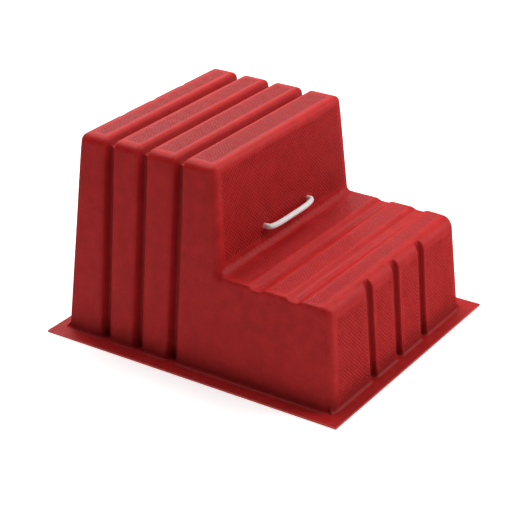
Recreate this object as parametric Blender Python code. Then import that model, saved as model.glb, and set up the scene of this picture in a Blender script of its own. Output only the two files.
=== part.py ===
"""Two-tread mounting block: one thin moulded plastic shell with a flange round
its foot, and a rope carrying handle knotted through the upper riser.

Metres, +Z up. The origin is the middle of the flange's underside. +X is the
width, the lower tread faces -Y and the upper tread stands at +Y.
"""
import math

import bmesh
import bpy
from mathutils import Matrix, Vector

# ---------------------------------------------------------------- dimensions
WALL = 0.004                    # sheet thickness
HEIGHT = 0.460                  # upper tread above the ground
TREAD_Z = 0.2295                # lower tread above the ground

FLANGE_HALF_X = 0.3190
FLANGE_FRONT_Y = -0.3690
FLANGE_BACK_Y = 0.3690

BASE_HALF_X = 0.2832            # body at the ground, before the draft
SIDE_DRAFT = 0.0700             # horizontal run per unit of height
BACK_Y, BACK_DRAFT = 0.3464, 0.0755
FRONT_Y, FRONT_DRAFT = -0.3380, 0.0900
RISER_Y, RISER_DRAFT = -0.0522, 0.0902      # riser foot, at the lower tread

EDGE_RADIUS = 0.016             # rounding of the body's edges
EDGE_SEGMENTS = 3

# grooves across the upper tread and down both sides
UPPER_GROOVES_Y = (0.2334, 0.1475, 0.0572)
UPPER_GROOVE_WIDTH = 0.030      # at the surface
UPPER_GROOVE_DEPTH = 0.021
UPPER_GROOVE_SLOPE = 0.45       # wall run per unit of depth
UPPER_GROOVE_LEAN = 0.0126       # the side grooves lean this much with height

# shallow grooves across the lower tread
LOWER_GROOVES_Y = (-0.1433, -0.2322)
LOWER_GROOVE_WIDTH = 0.034
LOWER_GROOVE_DEPTH = 0.006
LOWER_GROOVE_SLOPE = 0.88

# upright grooves in the front riser and in the back
FACE_GROOVES_X = (-0.110, 0.0, 0.110)
FACE_GROOVE_WIDTH = 0.0265
FACE_GROOVE_DEPTH = 0.012
FACE_GROOVE_SLOPE = 0.25
FACE_GROOVE_FOOT_Z = 0.006

# rope handle
ROPE_RADIUS = 0.006
ROPE_HOLE_RADIUS = 0.0080
ROPE_HOLE_X = 0.086
ROPE_HOLE_Z = 0.2745            # the rope's centre where it leaves the riser
ROPE_DROP = 0.0014              # the rope lies this far under the hole's centre
ROPE_AXIS_OUT = 0.0072          # swing axis in front of the riser's face
ROPE_STAND_OFF = 0.0170         # middle of the loop in front of the riser
ROPE_SAG = 0.0025
ROPE_SIDES = 2                  # bevel resolution: 8 sides
KNOT_RADIUS = 0.0135

GAP = 0.0003

RED = (0.42, 0.018, 0.020, 1.0)
WHITE = (0.80, 0.78, 0.74, 1.0)


# ------------------------------------------------------------------- helpers
def clear_scene():
    for obj in list(bpy.data.objects):
        bpy.data.objects.remove(obj, do_unlink=True)


def collection(name):
    made = bpy.data.collections.new(name)
    bpy.context.scene.collection.children.link(made)
    return made


def material(name, colour, roughness):
    made = bpy.data.materials.new(name)
    made.use_nodes = True
    shader = made.node_tree.nodes["Principled BSDF"]
    shader.inputs["Base Color"].default_value = colour
    shader.inputs["Roughness"].default_value = roughness
    shader.inputs["Metallic"].default_value = 0.0
    made.diffuse_color = colour
    return made


def add_mesh(name, bm, group):
    bmesh.ops.recalc_face_normals(bm, faces=bm.faces)
    mesh = bpy.data.meshes.new(name)
    bm.to_mesh(mesh)
    bm.free()
    obj = bpy.data.objects.new(name, mesh)
    group.objects.link(obj)
    return obj


def as_cutter(obj):
    obj.hide_render = True
    obj.display_type = "WIRE"
    return obj


def boolean(obj, other, operation):
    made = obj.modifiers.new(operation.lower() + "_" + other.name, "BOOLEAN")
    made.operation = operation
    made.solver = "EXACT"
    made.object = other


def half_width(z):
    return BASE_HALF_X - SIDE_DRAFT * z


def back_y(z):
    return BACK_Y - BACK_DRAFT * z


def front_y(z):
    return FRONT_Y + FRONT_DRAFT * z


def riser_y(z):
    return RISER_Y + RISER_DRAFT * (z - TREAD_Z)


def box(name, low, high, group):
    bm = bmesh.new()
    bmesh.ops.create_cube(bm, size=1.0)
    size = Vector(high) - Vector(low)
    middle = (Vector(high) + Vector(low)) / 2
    bmesh.ops.scale(bm, vec=size, verts=bm.verts)
    bmesh.ops.translate(bm, vec=middle, verts=bm.verts)
    return add_mesh(name, bm, group)


def loft(name, sections, group):
    """A closed solid through sections that all have the same number of corners."""
    bm = bmesh.new()
    rings = [[bm.verts.new(point) for point in section] for section in sections]
    count = len(rings[0])
    for first, second in zip(rings, rings[1:]):
        for i in range(count):
            j = (i + 1) % count
            bm.faces.new((first[i], first[j], second[j], second[i]))
    bm.faces.new(rings[0])
    bm.faces.new(rings[-1])
    return add_mesh(name, bm, group)


# ------------------------------------------------------------- body and cavity
def stepped_body(name, inset, foot, group):
    """The two-step body: its side outline as a flat curve, thickened across the
    width, drafted at the sides and rounded. inset moves every face inwards."""

    def normal_inset(draft):
        return inset * math.sqrt(1 + draft * draft)

    top, tread = HEIGHT - inset, TREAD_Z - inset
    outline = [
        (front_y(foot) + normal_inset(FRONT_DRAFT), foot),
        (front_y(tread) + normal_inset(FRONT_DRAFT), tread),
        (riser_y(tread) + normal_inset(RISER_DRAFT), tread),
        (riser_y(top) + normal_inset(RISER_DRAFT), top),
        (back_y(top) - normal_inset(BACK_DRAFT), top),
        (back_y(foot) - normal_inset(BACK_DRAFT), foot),
    ]
    curve = bpy.data.curves.new(name + "_outline", "CURVE")
    curve.dimensions = "2D"
    curve.fill_mode = "BOTH"
    curve.extrude = BASE_HALF_X
    spline = curve.splines.new("POLY")
    spline.points.add(len(outline) - 1)
    for point, (y, z) in zip(spline.points, outline):
        point.co = (y, z, 0.0, 1.0)
    spline.use_cyclic_u = True
    guide = bpy.data.objects.new(name + "_outline", curve)
    group.objects.link(guide)
    bpy.context.view_layer.update()
    graph = bpy.context.evaluated_depsgraph_get()
    mesh = bpy.data.meshes.new_from_object(guide.evaluated_get(graph))
    bm = bmesh.new()
    bm.from_mesh(mesh)
    bpy.data.objects.remove(guide)
    bmesh.ops.remove_doubles(bm, verts=bm.verts, dist=1e-5)
    # the outline's plane (x, y, extrusion) becomes (Y, Z, X)
    for vert in bm.verts:
        y, z, x = vert.co
        vert.co = (math.copysign(half_width(z) - normal_inset(SIDE_DRAFT), x), y, z)
    bmesh.ops.dissolve_limit(
        bm, angle_limit=math.radians(1), verts=bm.verts, edges=bm.edges
    )
    # the foot lies well under the ground, where it is cut away again
    bmesh.ops.bevel(
        bm,
        geom=bm.edges[:],
        offset=EDGE_RADIUS - inset,
        offset_type="OFFSET",
        segments=EDGE_SEGMENTS,
        profile=0.5,
        affect="EDGES",
        clamp_overlap=True,
    )
    # the L-shaped sides are parted behind the riser, so that every face is convex
    bmesh.ops.bisect_plane(
        bm,
        geom=bm.verts[:] + bm.edges[:] + bm.faces[:],
        plane_co=(0.0, RISER_Y + 0.035, 0.0),
        plane_no=(0.0, 1.0, 0.0),
    )
    return add_mesh(name, bm, group)


def trapezoid(centre, width, slope, depth, clear):
    """Corners (across, inwards) of a groove's section, its mouth carried on
    outwards by clear."""
    outer = width / 2 + slope * clear
    floor = width / 2 - slope * depth
    return [
        (centre - outer, -clear),
        (centre - floor, depth),
        (centre + floor, depth),
        (centre + outer, -clear),
    ]


def wrapped_groove(name, centre, grown, foot, group):
    """A groove across the upper tread that carries on down both sides.
    grown is the sheet's thickness when the cavity's copy is made."""
    slope = UPPER_GROOVE_SLOPE
    width = UPPER_GROOVE_WIDTH + 2 * grown * (math.sqrt(1 + slope * slope))
    section = trapezoid(centre, width, slope, UPPER_GROOVE_DEPTH + grown, 0.03)
    foot_shift = UPPER_GROOVE_LEAN * (HEIGHT - foot)

    def at(x_sign, z_of, shift):
        ring = []
        for y, inwards in section:
            z = z_of(inwards)
            ring.append((x_sign * (half_width(z) - inwards), y + shift, z))
        return ring

    sections = [
        at(-1, lambda inwards: foot, foot_shift),
        at(-1, lambda inwards: HEIGHT - inwards, 0.0),
        at(1, lambda inwards: HEIGHT - inwards, 0.0),
        at(1, lambda inwards: foot, foot_shift),
    ]
    return as_cutter(loft(name, sections, group))


def tread_groove(name, centre, grown, group):
    slope = LOWER_GROOVE_SLOPE
    width = LOWER_GROOVE_WIDTH + 2 * grown * (math.sqrt(1 + slope * slope) - slope)
    section = trapezoid(centre, width, slope, LOWER_GROOVE_DEPTH + grown, 0.012)
    sections = [
        [(x, y, TREAD_Z - inwards) for y, inwards in section] for x in (-0.32, 0.32)
    ]
    return as_cutter(loft(name, sections, group))


def face_groove(name, centre, face, low, high, side, grown, group):
    """An upright groove in the front (side -1) or the back (side +1)."""
    slope = FACE_GROOVE_SLOPE
    width = FACE_GROOVE_WIDTH + 2 * grown * (math.sqrt(1 + slope * slope) - slope)
    section = trapezoid(centre, width, slope, FACE_GROOVE_DEPTH + grown, 0.03)
    sections = [
        [(x, face(z) - side * inwards, z) for x, inwards in section]
        for z in (low, high)
    ]
    return as_cutter(loft(name, sections, group))


def grooves(label, grown, group):
    made = []
    foot = 0.001 if not grown else -0.030
    for i, centre in enumerate(UPPER_GROOVES_Y):
        made.append(wrapped_groove(f"{label}_wrap_{i}", centre, grown, foot, group))
    for i, centre in enumerate(LOWER_GROOVES_Y):
        made.append(tread_groove(f"{label}_tread_{i}", centre, grown, group))
    low = FACE_GROOVE_FOOT_Z - (0.040 if grown else 0.0)
    for i, centre in enumerate(FACE_GROOVES_X):
        made.append(
            face_groove(
                f"{label}_front_{i}", centre, front_y, low, TREAD_Z + 0.02, -1,
                grown, group,
            )
        )
        made.append(
            face_groove(
                f"{label}_back_{i}", centre, back_y, low, HEIGHT + 0.02, 1,
                grown, group,
            )
        )
    return made


def moulded_shell(parts, cutters, red):
    shell = stepped_body("moulded_shell", 0.0, -0.045, parts)
    for cutter in grooves("groove", 0.0, cutters):
        boolean(shell, cutter, "DIFFERENCE")
    # everything under the ground goes
    under = as_cutter(box("under", (-0.5, -0.6, -0.1), (0.5, 0.6, 0.0), cutters))
    boolean(shell, under, "DIFFERENCE")
    flange = as_cutter(
        box(
            "flange",
            (-FLANGE_HALF_X, FLANGE_FRONT_Y, 0.0),
            (FLANGE_HALF_X, FLANGE_BACK_Y, WALL),
            cutters,
        )
    )
    boolean(shell, flange, "UNION")
    cavity = as_cutter(stepped_body("cavity", WALL, -0.060, cutters))
    for cutter in grooves("rib", WALL, cutters):
        boolean(cavity, cutter, "DIFFERENCE")
    boolean(shell, cavity, "DIFFERENCE")
    for sign, side in ((-1, "left"), (1, "right")):
        hole = rope_hole("hole_" + side, sign, cutters)
        boolean(shell, hole, "DIFFERENCE")
    shell.data.materials.append(red)
    return shell


# ------------------------------------------------------------------ the rope
def riser_frame(sign):
    """The rope hole's frame: origin on the riser's face, +Z out of the riser."""
    out = Vector((0.0, -1.0, RISER_DRAFT)).normalized()
    place = Vector((sign * ROPE_HOLE_X, riser_y(ROPE_HOLE_Z), ROPE_HOLE_Z))
    turn = Vector((0, 0, 1)).rotation_difference(out).to_matrix().to_4x4()
    return Matrix.Translation(place) @ turn, out, place


def rope_hole(name, sign, group):
    frame, _, _ = riser_frame(sign)
    bm = bmesh.new()
    bmesh.ops.create_cone(
        bm,
        cap_ends=True,
        segments=24,
        radius1=ROPE_HOLE_RADIUS,
        radius2=ROPE_HOLE_RADIUS,
        depth=0.060,
    )
    hole = add_mesh(name, bm, group)
    hole.matrix_world = Matrix.Translation((0.0, 0.0, ROPE_DROP)) @ frame
    return as_cutter(hole)


def tube(name, points, radii, group):
    """A rope stretch: a poly curve with filled caps, made a mesh."""
    curve = bpy.data.curves.new(name, "CURVE")
    curve.dimensions = "3D"
    curve.bevel_depth = ROPE_RADIUS
    curve.bevel_resolution = ROPE_SIDES
    curve.use_fill_caps = True
    spline = curve.splines.new("POLY")
    spline.points.add(len(points) - 1)
    for target, point, radius in zip(spline.points, points, radii):
        target.co = (*point, 1.0)
        target.radius = radius
    guide = bpy.data.objects.new(name + "_path", curve)
    group.objects.link(guide)
    bpy.context.view_layer.update()
    graph = bpy.context.evaluated_depsgraph_get()
    mesh = bpy.data.meshes.new_from_object(guide.evaluated_get(graph))
    bpy.data.objects.remove(guide)
    bm = bmesh.new()
    bm.from_mesh(mesh)
    bmesh.ops.remove_doubles(bm, verts=bm.verts, dist=1e-5)
    return add_mesh(name, bm, group)


def swing_axis():
    """A point on the loop's swing axis, which runs along X."""
    _, out, place = riser_frame(1)
    return Vector((0.0, place.y, place.z)) + out * ROPE_AXIS_OUT


def rope_grip(parts, white):
    """The free loop: it leaves each hole square to the riser, turns along it
    and runs across nearly level."""
    _, out, _ = riser_frame(1)
    axis = swing_axis()
    reach = ROPE_STAND_OFF - ROPE_AXIS_OUT
    points, radii = [], []
    # rounded start behind the axis, so that the end turns on the spot
    caps = [math.radians(a) for a in (90, 60, 30)]
    for angle in caps:
        back = ROPE_RADIUS * math.sin(angle) * 0.985
        points.append((-ROPE_HOLE_X, -back, 0.0))
        radii.append(max(math.cos(angle), 0.08))
    steps = 22
    for i in range(steps + 1):
        t = math.pi * i / steps
        across = -math.copysign(abs(math.cos(t)) ** 0.45, math.cos(t)) * ROPE_HOLE_X
        away = abs(math.sin(t)) ** 0.75 * reach
        down = -abs(math.sin(t)) * ROPE_SAG
        points.append((across, away, down))
        radii.append(1.0)
    for angle in reversed(caps):
        back = ROPE_RADIUS * math.sin(angle) * 0.985
        points.append((ROPE_HOLE_X, -back, 0.0))
        radii.append(max(math.cos(angle), 0.08))
    up = Vector((1, 0, 0)).cross(-out)
    world = [Vector((x, 0, 0)) + out * a + up * d for x, a, d in points]
    grip = tube("rope_grip", world, radii, parts)
    # the points are measured from the swing axis, and so the origin goes there
    grip.location = axis
    grip.data.materials.append(white)
    return grip


def rope_end(side, sign, parts, cutters, white):
    """The stretch through the riser, with the knot and tail behind it."""
    _, out, place = riser_frame(sign)
    start = ROPE_AXIS_OUT - ROPE_RADIUS - GAP
    knot_at = -(WALL + GAP + KNOT_RADIUS)
    route = [start, -0.002, -0.006, knot_at + 0.004]
    points = [place + out * a for a in route]
    drop = Vector((sign * 0.12, 0.25, -1.0)).normalized()
    knot = place + out * knot_at
    tail = [knot + drop * d for d in (0.010, 0.024, 0.036)]
    points += [knot + Vector((0, 0.002, -0.003))] + tail
    piece = tube("rope_end_" + side, points, [1.0] * len(points), parts)
    bm = bmesh.new()
    bmesh.ops.create_uvsphere(bm, u_segments=14, v_segments=9, radius=KNOT_RADIUS)
    lump = add_mesh("knot_" + side, bm, cutters)
    lump.location = knot
    as_cutter(lump)
    boolean(piece, lump, "UNION")
    piece.data.materials.append(white)
    return piece


def shade(obj):
    obj.data.shade_smooth()
    obj.data.set_sharp_from_angle(angle=math.radians(40))


def main():
    clear_scene()
    parts = collection("mounting_block")
    cutters = collection("cutters")
    red = material("red_plastic", RED, 0.42)
    white = material("white_rope", WHITE, 0.85)
    white_left = material("white_rope_left", WHITE, 0.85)
    white_right = material("white_rope_right", WHITE, 0.85)
    shade(moulded_shell(parts, cutters, red))
    shade(rope_grip(parts, white))
    shade(rope_end("left", -1, parts, cutters, white_left))
    shade(rope_end("right", 1, parts, cutters, white_right))


main()
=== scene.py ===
"""Two-tread mounting block: the moulded shell with its knurled treads and
risers, and the braided rope handle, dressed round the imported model."""

import math

import bpy
import numpy as np
from mathutils import Matrix, Vector, geometry, noise


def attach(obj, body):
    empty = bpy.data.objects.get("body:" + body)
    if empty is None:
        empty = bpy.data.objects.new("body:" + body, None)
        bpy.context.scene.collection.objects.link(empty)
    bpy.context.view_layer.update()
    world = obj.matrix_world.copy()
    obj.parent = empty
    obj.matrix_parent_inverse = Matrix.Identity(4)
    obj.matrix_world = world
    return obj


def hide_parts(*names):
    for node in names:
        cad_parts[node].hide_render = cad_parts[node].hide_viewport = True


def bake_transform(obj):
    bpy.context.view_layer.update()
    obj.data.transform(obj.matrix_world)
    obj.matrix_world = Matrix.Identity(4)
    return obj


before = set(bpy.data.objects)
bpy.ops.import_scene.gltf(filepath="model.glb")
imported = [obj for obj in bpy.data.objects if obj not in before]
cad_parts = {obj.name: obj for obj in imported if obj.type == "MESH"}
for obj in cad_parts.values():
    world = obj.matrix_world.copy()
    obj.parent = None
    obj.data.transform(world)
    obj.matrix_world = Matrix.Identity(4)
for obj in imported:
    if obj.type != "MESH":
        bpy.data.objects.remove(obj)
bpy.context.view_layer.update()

# Lengths below are in millimetres in the row frame; MM turns them into metres.
MM = 0.001

# ------------------------------------------------------------------ dimensions
TOP_Z, TREAD_Z, WALL = 460.0, 229.5, 4.0
SIDE_X, SIDE_DRAFT = 283.2, 0.0700
BACK_Y, BACK_DRAFT = 346.4, 0.0755
FRONT_Y, FRONT_DRAFT = -338.0, 0.0900
RISER_Y, RISER_DRAFT = -52.2, 0.0902
FLANGE_X, FLANGE_Y = 319.0, 369.0

R_UPRIGHT_FOOT, R_UPRIGHT_TOP = 24.4, 15.7      # upright corners
R_RISER_TOP = 12.4
R_BACK_TOP = 17.0
R_SIDE_TOP = 17.9
R_TREAD_SIDE = 7.6
R_TREAD_FRONT = 23.8
R_RISER_FOOT = 14.0
R_FOOT = 8.0

WRAP_Y = (57.2, 147.5, 233.4)
WRAP_HALF, WRAP_DEPTH, WRAP_SLOPE, WRAP_LEAN = 14.0, 20.8, 0.445, 0.0126
WRAP_EDGE, WRAP_FLOOR = 5.4, 4.0
CROSS_Y = (-143.3, -232.2)
CROSS_HALF, CROSS_DEPTH, CROSS_SLOPE = 17.05, 6.0, 0.88
CROSS_EDGE, CROSS_FLOOR = 3.8, 3.0
UPRIGHT_X = (-110.0, 0.0, 110.0)
UPRIGHT_HALF, UPRIGHT_SLOPE = 13.25, 0.25
FRONT_DEPTH, REAR_DEPTH = 12.9, 11.2
UPRIGHT_EDGE, UPRIGHT_FLOOR = 2.2, 3.0

PITCH = 4.45            # half the knurl's period along X
KNURL = 0.85            # from a knurl's point to its pit

RIDGE_PITCH, RIDGE = 15.4, 1.1      # the small ridges up the riser's foot

HOLE_X, HOLE_Z, HOLE_R = 86.0, 273.1, 8.0


# ------------------------------------------------------- the body as a function
def meet(a, b, r):
    """The rounded intersection of two signed distances."""
    u, v = np.maximum(a + r, 0.0), np.maximum(b + r, 0.0)
    return np.minimum(np.maximum(a, b), -r) + np.sqrt(u * u + v * v)


def join(a, b, r):
    """The rounded union of two signed distances."""
    return -meet(-a, -b, r)


def sloped(value, slope):
    return value / math.sqrt(1.0 + slope * slope)


def planes(p):
    x, y, z = p[:, 0], p[:, 1], p[:, 2]
    side = sloped(np.abs(x) - SIDE_X + SIDE_DRAFT * z, SIDE_DRAFT)
    back = sloped(y - BACK_Y + BACK_DRAFT * z, BACK_DRAFT)
    front = sloped(-y + FRONT_Y + FRONT_DRAFT * z, FRONT_DRAFT)
    riser = sloped(-y + RISER_Y + RISER_DRAFT * (z - TREAD_Z), RISER_DRAFT)
    return side, back, front, riser


def block(p):
    """Signed distance to the stepped block, before its grooves."""
    x, y, z = p[:, 0], p[:, 1], p[:, 2]
    side, back, front, riser = planes(p)
    upper = meet(meet(z - TOP_Z, riser, R_RISER_TOP), back, R_BACK_TOP)
    lower = np.maximum(meet(z - TREAD_Z, front, R_TREAD_FRONT), y - 150.0)
    profile = join(upper, lower, R_RISER_FOOT)
    share = np.clip(z / TOP_Z, 0, 1)
    upright = R_UPRIGHT_FOOT + (R_UPRIGHT_TOP - R_UPRIGHT_FOOT) * share
    at_top = np.clip((z - (TOP_Z - 40.0)) / 25.0, 0, 1)
    at_tread = np.clip(1.0 - np.abs(z - TREAD_Z) / 26.0, 0, 1)
    at_tread = at_tread * np.clip((riser + 2.0) / 14.0, 0, 1)
    at_tread = at_tread * at_tread * (3.0 - 2.0 * at_tread)
    # the tread's side edge widens into the front corner
    near_front = np.clip((front + 34.0) / 30.0, 0, 1)
    tread_side = R_TREAD_SIDE + (17.0 - R_TREAD_SIDE) * near_front
    radius = upright * (1 - at_top) * (1 - at_tread)
    radius = radius + R_SIDE_TOP * at_top + tread_side * at_tread * (1 - at_top)
    return meet(profile, side, radius)


def grooved(p):
    """Signed distance to the block with all its grooves, bottomless."""
    x, y, z = p[:, 0], p[:, 1], p[:, 2]
    side, back, front, riser = planes(p)
    solid = block(p)
    along = y + WRAP_LEAN * (z - TOP_Z)
    depth = np.maximum(-solid, -2.0)
    cut = np.full(len(p), 1e3)
    for centre in WRAP_Y:
        wall = np.abs(along - centre) - WRAP_HALF + WRAP_SLOPE * depth
        cut = np.minimum(cut, sloped(wall, WRAP_SLOPE))
    cut = meet(cut, -(solid + WRAP_DEPTH), WRAP_FLOOR)
    out = meet(solid, -cut, WRAP_EDGE)
    cut = np.full(len(p), 1e3)
    for centre in CROSS_Y:
        wall = np.abs(y - centre) - CROSS_HALF + CROSS_SLOPE * (TREAD_Z - z)
        cut = np.minimum(cut, sloped(wall, CROSS_SLOPE))
    cut = meet(cut, -(z - TREAD_Z + CROSS_DEPTH), CROSS_FLOOR)
    cut = np.maximum(cut, z - TREAD_Z - 14.0)
    out = meet(out, -cut, CROSS_EDGE)
    for face, deep in ((front, FRONT_DEPTH), (back, REAR_DEPTH)):
        cut = np.full(len(p), 1e3)
        for centre in UPRIGHT_X:
            wall = np.abs(x - centre) - UPRIGHT_HALF - UPRIGHT_SLOPE * face
            cut = np.minimum(cut, sloped(wall, UPRIGHT_SLOPE))
        cut = meet(cut, -(face + deep), UPRIGHT_FLOOR)
        cut = np.maximum(cut, face - 20.0)
        out = meet(out, -cut, UPRIGHT_EDGE)
    return out


def with_flange(p):
    x, y, z = p[:, 0], p[:, 1], p[:, 2]
    flange = np.maximum(np.abs(x) - FLANGE_X, np.abs(y) - FLANGE_Y)
    flange = np.maximum(flange, z - WALL)
    return join(grooved(p), flange, R_FOOT)


def slope_of(function, p):
    step = 0.02
    out = np.empty_like(p)
    for k in range(3):
        d = np.zeros(3)
        d[k] = step
        out[:, k] = (function(p + d) - function(p - d)) / (2 * step)
    return out


def pulled_onto(function, p, level=0.0, rounds=9, free=(1.0, 1.0, 1.0)):
    """The points moved onto the surface where the function is at that level."""
    p = p.copy()
    for _ in range(rounds):
        away = function(p) - level
        g = slope_of(function, p) * np.array(free)
        step = (away / np.maximum((g * g).sum(1), 0.05))[:, None] * g
        long = np.linalg.norm(step, axis=1)[:, None]
        p -= step * np.minimum(1.0, 6.0 / np.maximum(long, 1e-9))
    return p


# ------------------------------------------------------------ the lattice of it
ARC = (0.0, 0.332, 0.586, 0.801, 1.0)


def merged(*groups, closest=0.55, widest=22.0):
    """One rising list from several, the earlier groups' values kept exactly."""
    kept = []
    for group in groups:
        for value in sorted(group):
            if all(abs(value - k) >= closest for k in kept):
                kept.append(value)
    kept.sort()
    out = [kept[0]]
    for value in kept[1:]:
        parts = max(1, math.ceil((value - out[-1]) / widest))
        start = out[-1]
        out += [start + (value - start) * (i + 1) / parts for i in range(parts)]
    return np.array(out)


def stations(fine):
    """The lattice's lines along each axis. fine is for the outer skin."""
    edge = (0.0, 1.0, 2.2, 3.4, 5.6, 7.6, 10.2, 13.2, 17.0, 20.8, 25.0)
    if not fine:
        edge = (0.0, 7.6, 10.2, 17.0, 20.8, 25.0)
    foot = (0.0, 1.6, 3.3, 5.4, 8.0, 12.0) if fine else (0.0, 3.3)
    mouth = (0.0, 5.0, 9.0, 11.6) if fine else (0.0, 8.0)
    lip = (0.9, 2.0, 4.0) if fine else (6.5,)
    inside = (0.0, 6.2, 8.8, 11.4) if fine else (0.0, 6.2, 10.0)
    outside = (0.8, 1.8, 3.4, 5.4) if fine else (6.5,)
    beside = (0.9, 1.9, 4.0) if fine else (5.5,)
    widest = 22.0 if fine else 60.0

    must_u = [-FLANGE_X, -SIDE_X, SIDE_X, FLANGE_X]
    must_u += [s * (SIDE_X - WRAP_DEPTH) for s in (-1, 1)]
    must_u += [c + s * UPRIGHT_HALF for c in UPRIGHT_X for s in (-1, 1)]
    more_u = [s * (SIDE_X - t) for t in edge for s in (-1, 1)]
    more_u += [s * (SIDE_X + t) for t in foot for s in (-1, 1)]
    more_u += [c + s * t for c in UPRIGHT_X for t in mouth for s in (-1, 1)]
    more_u += [
        c + s * (UPRIGHT_HALF + t) for c in UPRIGHT_X for t in lip for s in (-1, 1)
    ]
    us = merged(must_u, more_u, widest=widest)

    must_v = [-FLANGE_Y, FLANGE_Y, FRONT_Y, BACK_Y, RISER_Y]
    must_v += [FRONT_Y + FRONT_DEPTH, BACK_Y - REAR_DEPTH]
    must_v += [c + s * WRAP_HALF for c in WRAP_Y for s in (-1, 1)]
    must_v += [c + s * CROSS_HALF for c in CROSS_Y for s in (-1, 1)]
    more_v = [FRONT_Y + t for t in edge] + [BACK_Y - t for t in edge]
    more_v += [FRONT_Y - t for t in foot] + [BACK_Y + t for t in foot]
    more_v += [RISER_Y + R_RISER_TOP * t for t in ARC] + [RISER_Y + 16.5, RISER_Y + 21]
    more_v += [RISER_Y - R_RISER_FOOT * t for t in ARC] + [RISER_Y - R_RISER_FOOT - 2.0]
    more_v += [c + s * t for c in WRAP_Y for t in inside for s in (-1, 1)]
    more_v += [c + s * (WRAP_HALF + t) for c in WRAP_Y for t in outside for s in (-1, 1)]
    more_v += [c + s * t for c in CROSS_Y for t in (0.0, 8.0, 13.5) for s in (-1, 1)]
    more_v += [
        c + s * (CROSS_HALF + t) for c in CROSS_Y for t in beside for s in (-1, 1)
    ]
    vs = merged(must_v, more_v, widest=widest)

    must_w = [0.0, WALL, TREAD_Z - CROSS_DEPTH, TREAD_Z, TOP_Z - WRAP_DEPTH, TOP_Z]
    more_w = [WALL + t for t in foot]
    more_w += [TREAD_Z - R_TREAD_FRONT * t for t in ARC] + [TREAD_Z - 27.0]
    more_w += [TREAD_Z - t for t in (1.3, 2.7, 4.4, 7.6)]
    more_w += [TREAD_Z + R_RISER_FOOT * t for t in ARC] + [TREAD_Z + R_RISER_FOOT + 3.0]
    more_w += [TOP_Z - t for t in edge]
    more_w += [TOP_Z - WRAP_DEPTH + t for t in (0.9, 2.1)]
    ws = merged(must_w, more_w, widest=widest)
    return us, vs, ws


def filled(us, vs, ws, flange):
    """Which cells of the lattice hold plastic."""
    u, v, w = [(a[1:] + a[:-1]) / 2 for a in (us, vs, ws)]
    u, v, w = np.meshgrid(u, v, w, indexing="ij")
    out = (np.abs(u) < SIDE_X) & (v > FRONT_Y) & (v < BACK_Y) & (w < TOP_Z)
    out &= (w < TREAD_Z) | (v > RISER_Y)
    ground = WALL if flange else -1.0
    for c in WRAP_Y:
        deep = (np.abs(u) > SIDE_X - WRAP_DEPTH) | (w > TOP_Z - WRAP_DEPTH)
        out &= ~((np.abs(v - c) < WRAP_HALF) & deep & (w > ground))
    for c in CROSS_Y:
        out &= ~((np.abs(v - c) < CROSS_HALF) & (w > TREAD_Z - CROSS_DEPTH))
    for c in UPRIGHT_X:
        near = (np.abs(u - c) < UPRIGHT_HALF) & (w > ground)
        out &= ~(near & (v < FRONT_Y + FRONT_DEPTH))
        out &= ~(near & (v > BACK_Y - REAR_DEPTH))
    if flange:
        out |= w < WALL
    return out


def drafted(p):
    """The lattice's straight block leaned to the moulding's draft, with its
    groove walls sloped. Only small moves are left for pulled_onto."""
    x, y, z = p[:, 0].copy(), p[:, 1].copy(), p[:, 2].copy()
    near_body = 13.0
    on_body = (np.abs(x) <= SIDE_X + near_body) & (y >= FRONT_Y - near_body)
    on_body &= y <= BACK_Y + near_body
    # upright grooves narrow inwards
    for deep, face in (
        (FRONT_DEPTH, y - FRONT_Y),
        (REAR_DEPTH, BACK_Y - y),
    ):
        d = np.clip(face, 0, deep)
        live = face < deep + 0.1
        for c in UPRIGHT_X:
            near = live & (np.abs(x - c) <= UPRIGHT_HALF + 0.01)
            narrow = (UPRIGHT_HALF - UPRIGHT_SLOPE * d) / UPRIGHT_HALF
            x = np.where(near, c + (x - c) * narrow, x)
    d = np.clip(np.minimum(TOP_Z - z, SIDE_X - np.abs(p[:, 0])), 0, WRAP_DEPTH)
    live = (z > TOP_Z - WRAP_DEPTH - 0.1) | (np.abs(x) > SIDE_X - WRAP_DEPTH - 0.1)
    for c in WRAP_Y:
        near = live & (np.abs(y - c) <= WRAP_HALF + 0.01)
        y = np.where(near, c + (y - c) * (WRAP_HALF - WRAP_SLOPE * d) / WRAP_HALF, y)
    d = np.clip(TREAD_Z - z, 0, CROSS_DEPTH)
    live = (z > TREAD_Z - CROSS_DEPTH - 0.1) & (z < TREAD_Z + 0.1)
    for c in CROSS_Y:
        near = live & (np.abs(y - c) <= CROSS_HALF + 0.01)
        y = np.where(near, c + (y - c) * (CROSS_HALF - CROSS_SLOPE * d) / CROSS_HALF, y)
    # draft
    ax = np.abs(x)
    inner, outer = SIDE_X - 68.0, SIDE_X - 26.0
    ease = np.clip((ax - inner) / (outer - inner), 0, 1)
    x = np.sign(x) * (ax - SIDE_DRAFT * z * ease * (ax <= SIDE_X + near_body))
    up = np.maximum(z - TREAD_Z, 0.0)
    lean = WRAP_LEAN * (TOP_Z - z)
    knots = (FRONT_Y + 27, FRONT_Y + 50, RISER_Y - 24, RISER_Y - 16, RISER_Y + 27,
             34.0, 256.0, BACK_Y - 27)
    shift = (FRONT_DRAFT * z, 0 * z, 0 * z, RISER_DRAFT * up, RISER_DRAFT * up,
             lean, lean, -BACK_DRAFT * z)
    move = shift[0].copy()
    for a, b, s, t in zip(knots, knots[1:], shift, shift[1:]):
        share = np.clip((y - a) / (b - a), 0, 1)
        move = np.where(y > a, s + (t - s) * share, move)
    y = y + move * on_body
    return np.stack([x, y, z], axis=1)


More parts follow.
